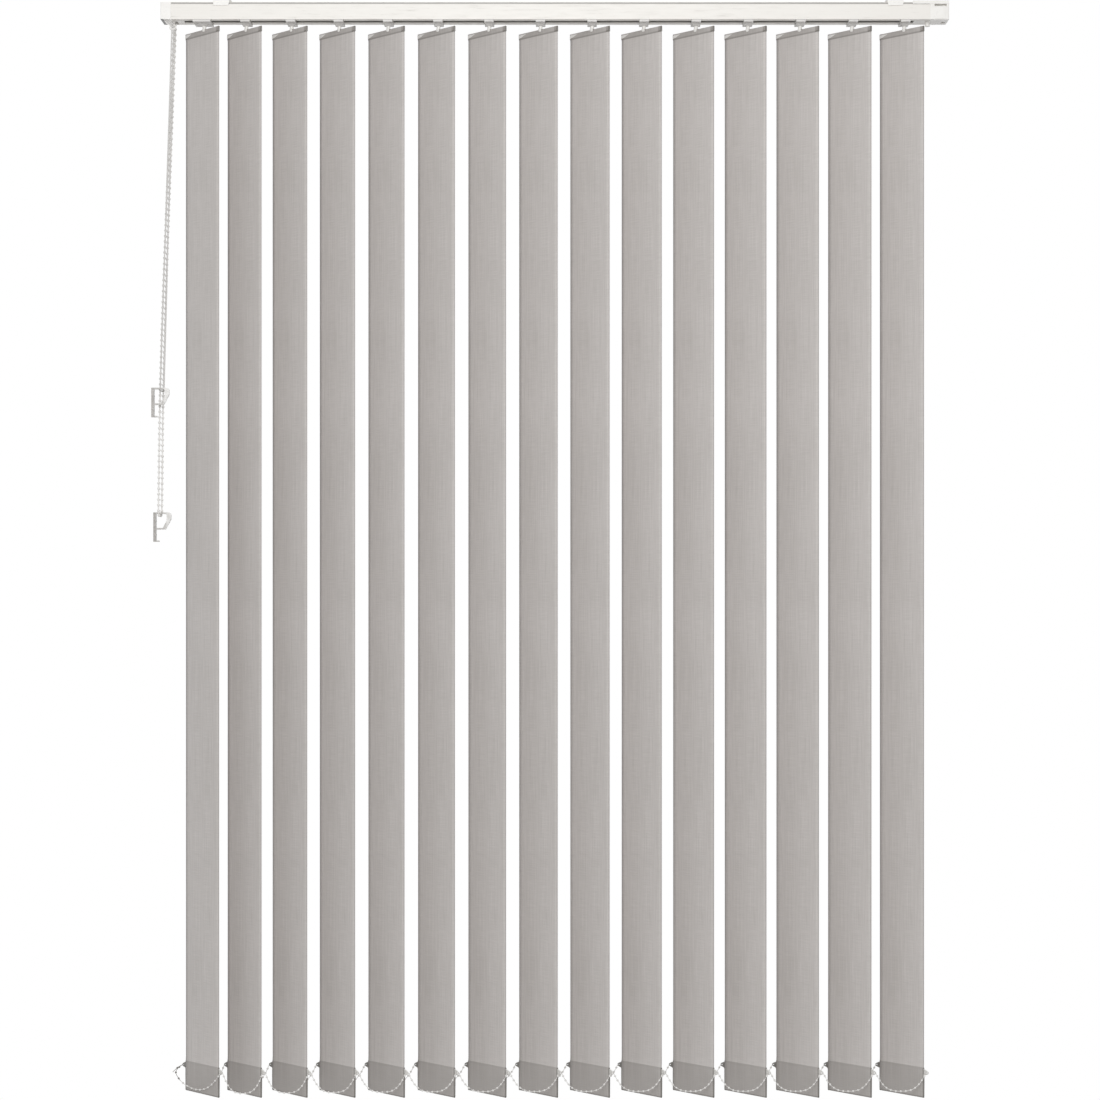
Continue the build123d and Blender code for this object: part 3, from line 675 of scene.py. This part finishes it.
def make_traverse_cord(clamp_x):
    """From the lead carrier's clamp round the pulley, back, down through the eye, and up again."""
    eye_front = Vector((EYE_X - EYE_HALF_X, CORD_Y, EYE_Z))
    eye_back = Vector((EYE_X + EYE_HALF_X, CORD_Y, EYE_Z))
    front, back = loop_corners(
        CORD_LOOP_X, CORD_LOOP_Y, CORD_CLIP_BAND, CORD_LOOP_RADIUS, CORD_LOOP_TURN
    )
    route = [
        Vector((clamp_x + CLAMP_HALF, CORD_Y, UPPER_RUN)),
        Vector((PULLEY_X - PULLEY_NEAR, CORD_Y, UPPER_RUN)),
        Vector((PULLEY_X + PULLEY_RADIUS, CORD_Y, UPPER_RUN)),
        Vector((PULLEY_X + PULLEY_RADIUS, CORD_Y, LOWER_RUN)),
        Vector((PULLEY_X - PULLEY_NEAR, CORD_Y, LOWER_RUN)),
        Vector((UP_X + LOWER_NEAR, CORD_Y, LOWER_RUN)),
        Vector((UP_X, CORD_Y, LOWER_RUN)),
        Vector((UP_X, CORD_Y, CAP_MOUTH)),
        eye_back,
        beside(eye_back, back, CORD_NEAR),
        beside(back, eye_back, CORD_NEAR),
        back,
        front,
        beside(front, eye_front, CORD_NEAR),
        beside(eye_front, front, CORD_NEAR),
        eye_front,
        Vector((DOWN_X, CORD_Y, CAP_MOUTH)),
        Vector((DOWN_X, CORD_Y, UPPER_RUN)),
        Vector((DOWN_X + UPPER_NEAR, CORD_Y, UPPER_RUN)),
        Vector((clamp_x - CLAMP_HALF, CORD_Y, UPPER_RUN)),
    ]
    curve = nurbs("traverse_cord_braid", route, CORD_WIDTH, BRAID)
    cord = placed("traverse_cord_braid", curve, "headrail")
    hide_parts("traverse_cord")
    round(length_of(line_of(curve)), 3)


# Vanes


def cloth_section():
    """The cloth as (y, z): its top flap, over the pocket, down the face and up into the hem."""
    flap = [(FLAP_Y, SEAM_Z + 0.0004), (POCKET_HALF, SEAM_Z + 0.0018), (POCKET_HALF, VANE_TOP - 0.0012)]
    over = [(FOLD_HALF, VANE_TOP - 0.0003), (-FOLD_HALF, VANE_TOP - 0.0003)]
    front = [
        (-POCKET_HALF, VANE_TOP - 0.0012),
        (-POCKET_HALF, SEAM_Z + 0.0018),
        (-0.0004, SEAM_Z),
        (0.0, SEAM_Z - 0.002),
    ]
    top = SEAM_Z - 0.010
    bottom = HEM_TOP + 0.006
    face = [(0.0, top + (bottom - top) * row / CLOTH_ROWS) for row in range(CLOTH_ROWS + 1)]
    hem_front = [
        (-0.0003, HEM_TOP + 0.0004),
        (-HEM_NECK, HEM_TOP - 0.002),
        (-HEM_HALF, HEM_TOP - 0.022),
        (-HEM_NECK, VANE_BOTTOM + 0.002),
    ]
    turn = [(-FOLD_HALF, VANE_BOTTOM + 0.0003), (FOLD_HALF, VANE_BOTTOM + 0.0003)]
    hem_back = [
        (HEM_NECK, VANE_BOTTOM + 0.002),
        (HEM_HALF, HEM_TOP - 0.022),
        (HEM_NECK, HEM_TOP - 0.002),
        (FLAP_Y, HEM_TOP - 0.0002),
    ]
    return flap + over + front + face + hem_front + turn + hem_back


def cloth_mesh():
    """One vane's cloth as a thin sheet that bows a little towards the room between its ends."""
    bm = bmesh.new()
    height = VANE_TOP - VANE_BOTTOM
    rows = []
    for y, z in cloth_section():
        down = min(max((VANE_TOP - z) / height, 0), 1)
        slack = math.sin(math.pi * down) ** 0.5
        row = []
        for column in range(CLOTH_COLUMNS + 1):
            x = HALF_VANE * (2 * column / CLOTH_COLUMNS - 1)
            bow = CLOTH_BOW * slack * (1 - (x / HALF_VANE) ** 2)
            row.append(bm.verts.new((x, y - bow, z)))
        rows.append(row)
    for first, second in zip(rows, rows[1:]):
        for a, b, c, d in zip(first, first[1:], second[1:], second):
            bm.faces.new((a, b, c, d))
    mesh = mesh_from("vane_cloth", bm, FABRIC)
    shade_smooth(mesh)
    return mesh


def eased_plate(name, corners, thickness, material):
    """Flat plate from (x, z) corners, with its edges eased."""
    bm = bmesh.new()
    add_plate(bm, corners, thickness)
    bmesh.ops.bevel(bm, geom=bm.edges[:], offset=thickness * EDGE_EASE, segments=1, affect="EDGES")
    bmesh.ops.recalc_face_normals(bm, faces=bm.faces)
    return mesh_from(name, bm, material)


def card_mesh():
    """The stiff card inside the top pocket."""
    end = HALF_VANE - 0.0006
    low = SEAM_Z + 0.0010
    high = VANE_TOP - 0.0008
    corners = [(-end, low), (end, low), (end, high), (-end, high)]
    return eased_plate("vane_card", corners, CARD_THICKNESS, CARRIER)


def corner_mesh():
    """The pocket's open corner at the far edge, where the pale card shows."""
    end = HALF_VANE + 0.0001
    top = VANE_TOP - 0.0020
    corners = [(-end, top - 0.0054), (-end + 0.0070, top - 0.0038), (-end + 0.0170, top), (-end, top)]
    mesh = eased_plate("vane_corner", corners, CORNER_THICKNESS, CORNER)
    for vertex in mesh.vertices:
        vertex.co.y += CORNER_Y
    return mesh


def weight_mesh():
    """Bottom weight: a flat plate in the hem, with a pointed wire eye and its web at each end."""
    low = VANE_BOTTOM + 0.0008
    high = HEM_TOP - 0.001
    neck = HALF_VANE - 0.002
    eye = [
        (neck - 0.001, 0.0042),
        (HALF_VANE + 0.002, 0.0034),
        (HOOK_TIP - 0.0028, 0.0014),
        (HOOK_TIP - 0.0010, 0.0002),
        (HOOK_TIP - 0.0012, -0.0013),
        (HOOK_TIP - 0.0030, -0.0022),
        (HALF_VANE + 0.001, -0.0036),
        (neck - 0.001, -0.0040),
    ]
    web = [
        (neck, 0.0036),
        (HOOK_REACH - 0.0012, 0.0016),
        (HOOK_REACH - 0.0012, -0.0014),
        (neck, -0.0034),
    ]
    bm = bmesh.new()
    add_plate(bm, [(neck, low), (neck, high), (-neck, high), (-neck, low)], WEIGHT_THICKNESS)
    for side in (-1, 1):
        add_tube(bm, [Vector((side * x, 0, HOOK_Z + z)) for x, z in eye], EYE_WIRE_RADIUS, EYE_SIDES)
        add_plate(bm, [(side * x, HOOK_Z + z) for x, z in web], WEIGHT_THICKNESS)
    bmesh.ops.recalc_face_normals(bm, faces=bm.faces)
    return mesh_from("vane_weight", bm, HOOK)


def vane_matrix(x):
    """Vane's own axes: turned about the stem's axis at x, then moved along the vane."""
    turn = Matrix.Rotation(-VANE_ANGLE, 4, "Z")
    return Matrix.Translation((x, 0, 0)) @ turn @ Matrix.Translation((VANE_SHIFT, 0, 0))


def make_vanes(places):
    """Vanes that share their meshes, each riding on its own body."""
    cloth = cloth_mesh()
    card = card_mesh()
    corner = corner_mesh()
    weight = weight_mesh()
    for index, x in enumerate(places):
        number = f"{index + 1:02d}"
        body = f"vane_{number}"
        matrix = vane_matrix(x)
        sheet = placed(f"cloth_{number}", cloth, body, matrix)
        thick = sheet.modifiers.new("thickness", "SOLIDIFY")
        thick.thickness = CLOTH
        thick.offset = 0
        inside = [
            placed(f"card_{number}", card, body, matrix),
            placed(f"corner_{number}", corner, body, matrix),
            placed(f"weight_{number}", weight, body, matrix),
        ]
        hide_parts(body)


# Bottom chains


def arc_line(start, end, drop):
    """Points of a slack chain between two hooks: steep at its ends and flat at the bottom."""
    points = []
    for step in range(ARC_STEPS + 1):
        side = -math.cos(math.pi * step / ARC_STEPS)
        fall = 1 - abs(side) ** 3
        points.append(start.lerp(end, (1 + side) / 2) - Vector((0, 0, drop * fall)))
    return points


def make_bottom_chain(name, places, side):
    """Arcs from vane to vane, at the front hooks where side is -1 and at the back ones where it is 1."""
    hook = VANE_SHIFT - side * HOOK_REACH
    offset_x = hook * math.cos(VANE_ANGLE)
    y = -hook * math.sin(VANE_ANGLE)
    bm = bmesh.new()
    for near, far in zip(places, places[1:]):
        start = Vector((near + offset_x + ARC_GAP, y, HOOK_Z))
        end = Vector((far + offset_x - ARC_GAP, y, HOOK_Z))
        span = (end - start).length
        # As deep as a shallow parabola of the arc's length
        drop = span * math.sqrt(3 / 8 * (ARC_LENGTH / span - 1))
        add_small_chain(bm, arc_line(start, end, drop), HEM_PITCH)
    chain = smooth_piece(f"{name}_beads", bm, BEAD, name)
    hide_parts(name)
    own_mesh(chain)


def make_chain_tail(x):
    """Loose end of the bottom chain: over the back hook, and wrapped in front of the first vane."""
    hook = (-HOOK_TIP - 0.0011, 0.0010, HOOK_Z - 0.001)
    wrap = [
        hook,
        (-HOOK_REACH - 0.0060, -0.0136, HOOK_Z - 0.008),
        (-HOOK_REACH + 0.0011, -0.0110, HOOK_Z - 0.020),
        (-0.040, -0.0080, HOOK_Z - 0.028),
        (-0.008, -0.0050, HOOK_Z - 0.035),
        (0.031, -0.0040, HOOK_Z - 0.024),
        (HOOK_REACH - 0.0006, -0.0017, HOOK_Z - 0.001),
    ]
    end = [
        hook,
        (-HOOK_TIP - 0.0050, -0.0050, HOOK_Z - 0.0040),
        (-HOOK_TIP - 0.0069, -0.0137, HOOK_Z - 0.0118),
    ]
    bm = bmesh.new()
    for route in (wrap, end):
        curve = nurbs("chain_tail_line", route, HEM_LINK, TAIL)
        add_small_chain(bm, line_of(curve), TAIL_PITCH)
        bpy.data.curves.remove(curve)
    tail = smooth_piece("chain_tail_beads", bm, TAIL, "vane_01", vane_matrix(x))
    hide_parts("chain_tail")


# Assembly

joints = {joint["name"]: joint for joint in frame["joints"]}
places = [joints[f"tilt_{index:02d}"]["pos_m"][0] for index in range(1, VANE_COUNT)]
places.append(joints["tilt"]["pos_m"][0])

make_tilt_chain()
make_traverse_cord(places[0])

looks = {
    "headrail": RAIL,
    "control_end_cap": CONTROL_CAP,
    "far_end_cap": CAP,
    "bracket_left": CAP,
    "bracket_right": CAP,
    "tilt_rod": METAL,
    "chain_clip": CLIP,
    "cord_clip": CLIP,
}
for name, node in frame["nodes"].items():
    look = looks.get(name, CAP if name.startswith("stem") else CARRIER)
    for slot in node.material_slots:
        slot.material = look

make_vanes(places)
make_bottom_chain("front_chain", places, -1)
make_bottom_chain("back_chain", places, 1)
make_chain_tail(places[0])


# Floor, world and lamps


def make_floor():
    """Plain pale floor below the blind."""
    n = Nodes("floor")
    n.set(Base_Color=n.mix(n.noise(6.0), FLOOR_DARK, FLOOR_PALE), Roughness=0.9)
    bm = bmesh.new()
    bmesh.ops.create_grid(bm, x_segments=1, y_segments=1, size=FLOOR_HALF)
    floor = bpy.data.objects.new("floor", mesh_from("floor", bm, n.material))
    floor.location = (0, 0, FLOOR_Z)
    bpy.context.scene.collection.objects.link(floor)


def make_world():
    """Soft light, stronger from above; the camera, and reflections and clear parts, see plain white."""
    world = bpy.data.worlds.new("world")
    bpy.context.scene.world = world
    world.use_nodes = True
    nodes = world.node_tree.nodes
    link = world.node_tree.links.new
    background = nodes["Background"]
    path = nodes.new("ShaderNodeLightPath")
    glossy = nodes.new("ShaderNodeMath")
    glossy.operation = "MAXIMUM"
    link(path.outputs["Is Glossy Ray"], glossy.inputs[0])
    link(path.outputs["Is Transmission Ray"], glossy.inputs[1])
    white = nodes.new("ShaderNodeMath")
    white.operation = "MAXIMUM"
    link(path.outputs["Is Camera Ray"], white.inputs[0])
    link(glossy.outputs[0], white.inputs[1])
    place = nodes.new("ShaderNodeTexCoord")
    split = nodes.new("ShaderNodeSeparateXYZ")
    link(place.outputs["Generated"], split.inputs[0])
    sky = nodes.new("ShaderNodeMapRange")
    sky.inputs["From Min"].default_value = SKY_LOW
    sky.inputs["From Max"].default_value = SKY_HIGH
    sky.inputs["To Min"].default_value = AMBIENT_LOW
    sky.inputs["To Max"].default_value = AMBIENT_HIGH
    link(split.outputs["Z"], sky.inputs["Value"])
    level = nodes.new("ShaderNodeMapRange")
    level.inputs["To Max"].default_value = 1.0
    link(sky.outputs["Result"], level.inputs["To Min"])
    link(white.outputs[0], level.inputs["Value"])
    link(level.outputs["Result"], background.inputs["Strength"])
    background.inputs["Color"].default_value = (1, 1, 1, 1)


def make_lamp(name, place, target, size, power):
    """Square area lamp at a place, facing a target; size in metres and power in watts."""
    data = bpy.data.lights.new(name, "AREA")
    data.shape = "SQUARE"
    data.size = size
    data.energy = power
    obj = bpy.data.objects.new(name, data)
    obj.location = place
    obj.rotation_euler = (Vector(target) - Vector(place)).to_track_quat("-Z", "Y").to_euler()
    bpy.context.scene.collection.objects.link(obj)


make_floor()
make_world()
make_lamp("key", place=(-0.15, -3.6, 0.2), target=(-0.15, 0, 2.1), size=1.8, power=76)
make_lamp("top", place=(0, -0.5, 2.4), target=(0, 0, 0), size=0.9, power=3)
bpy.context.scene.view_settings.view_transform = "Standard"
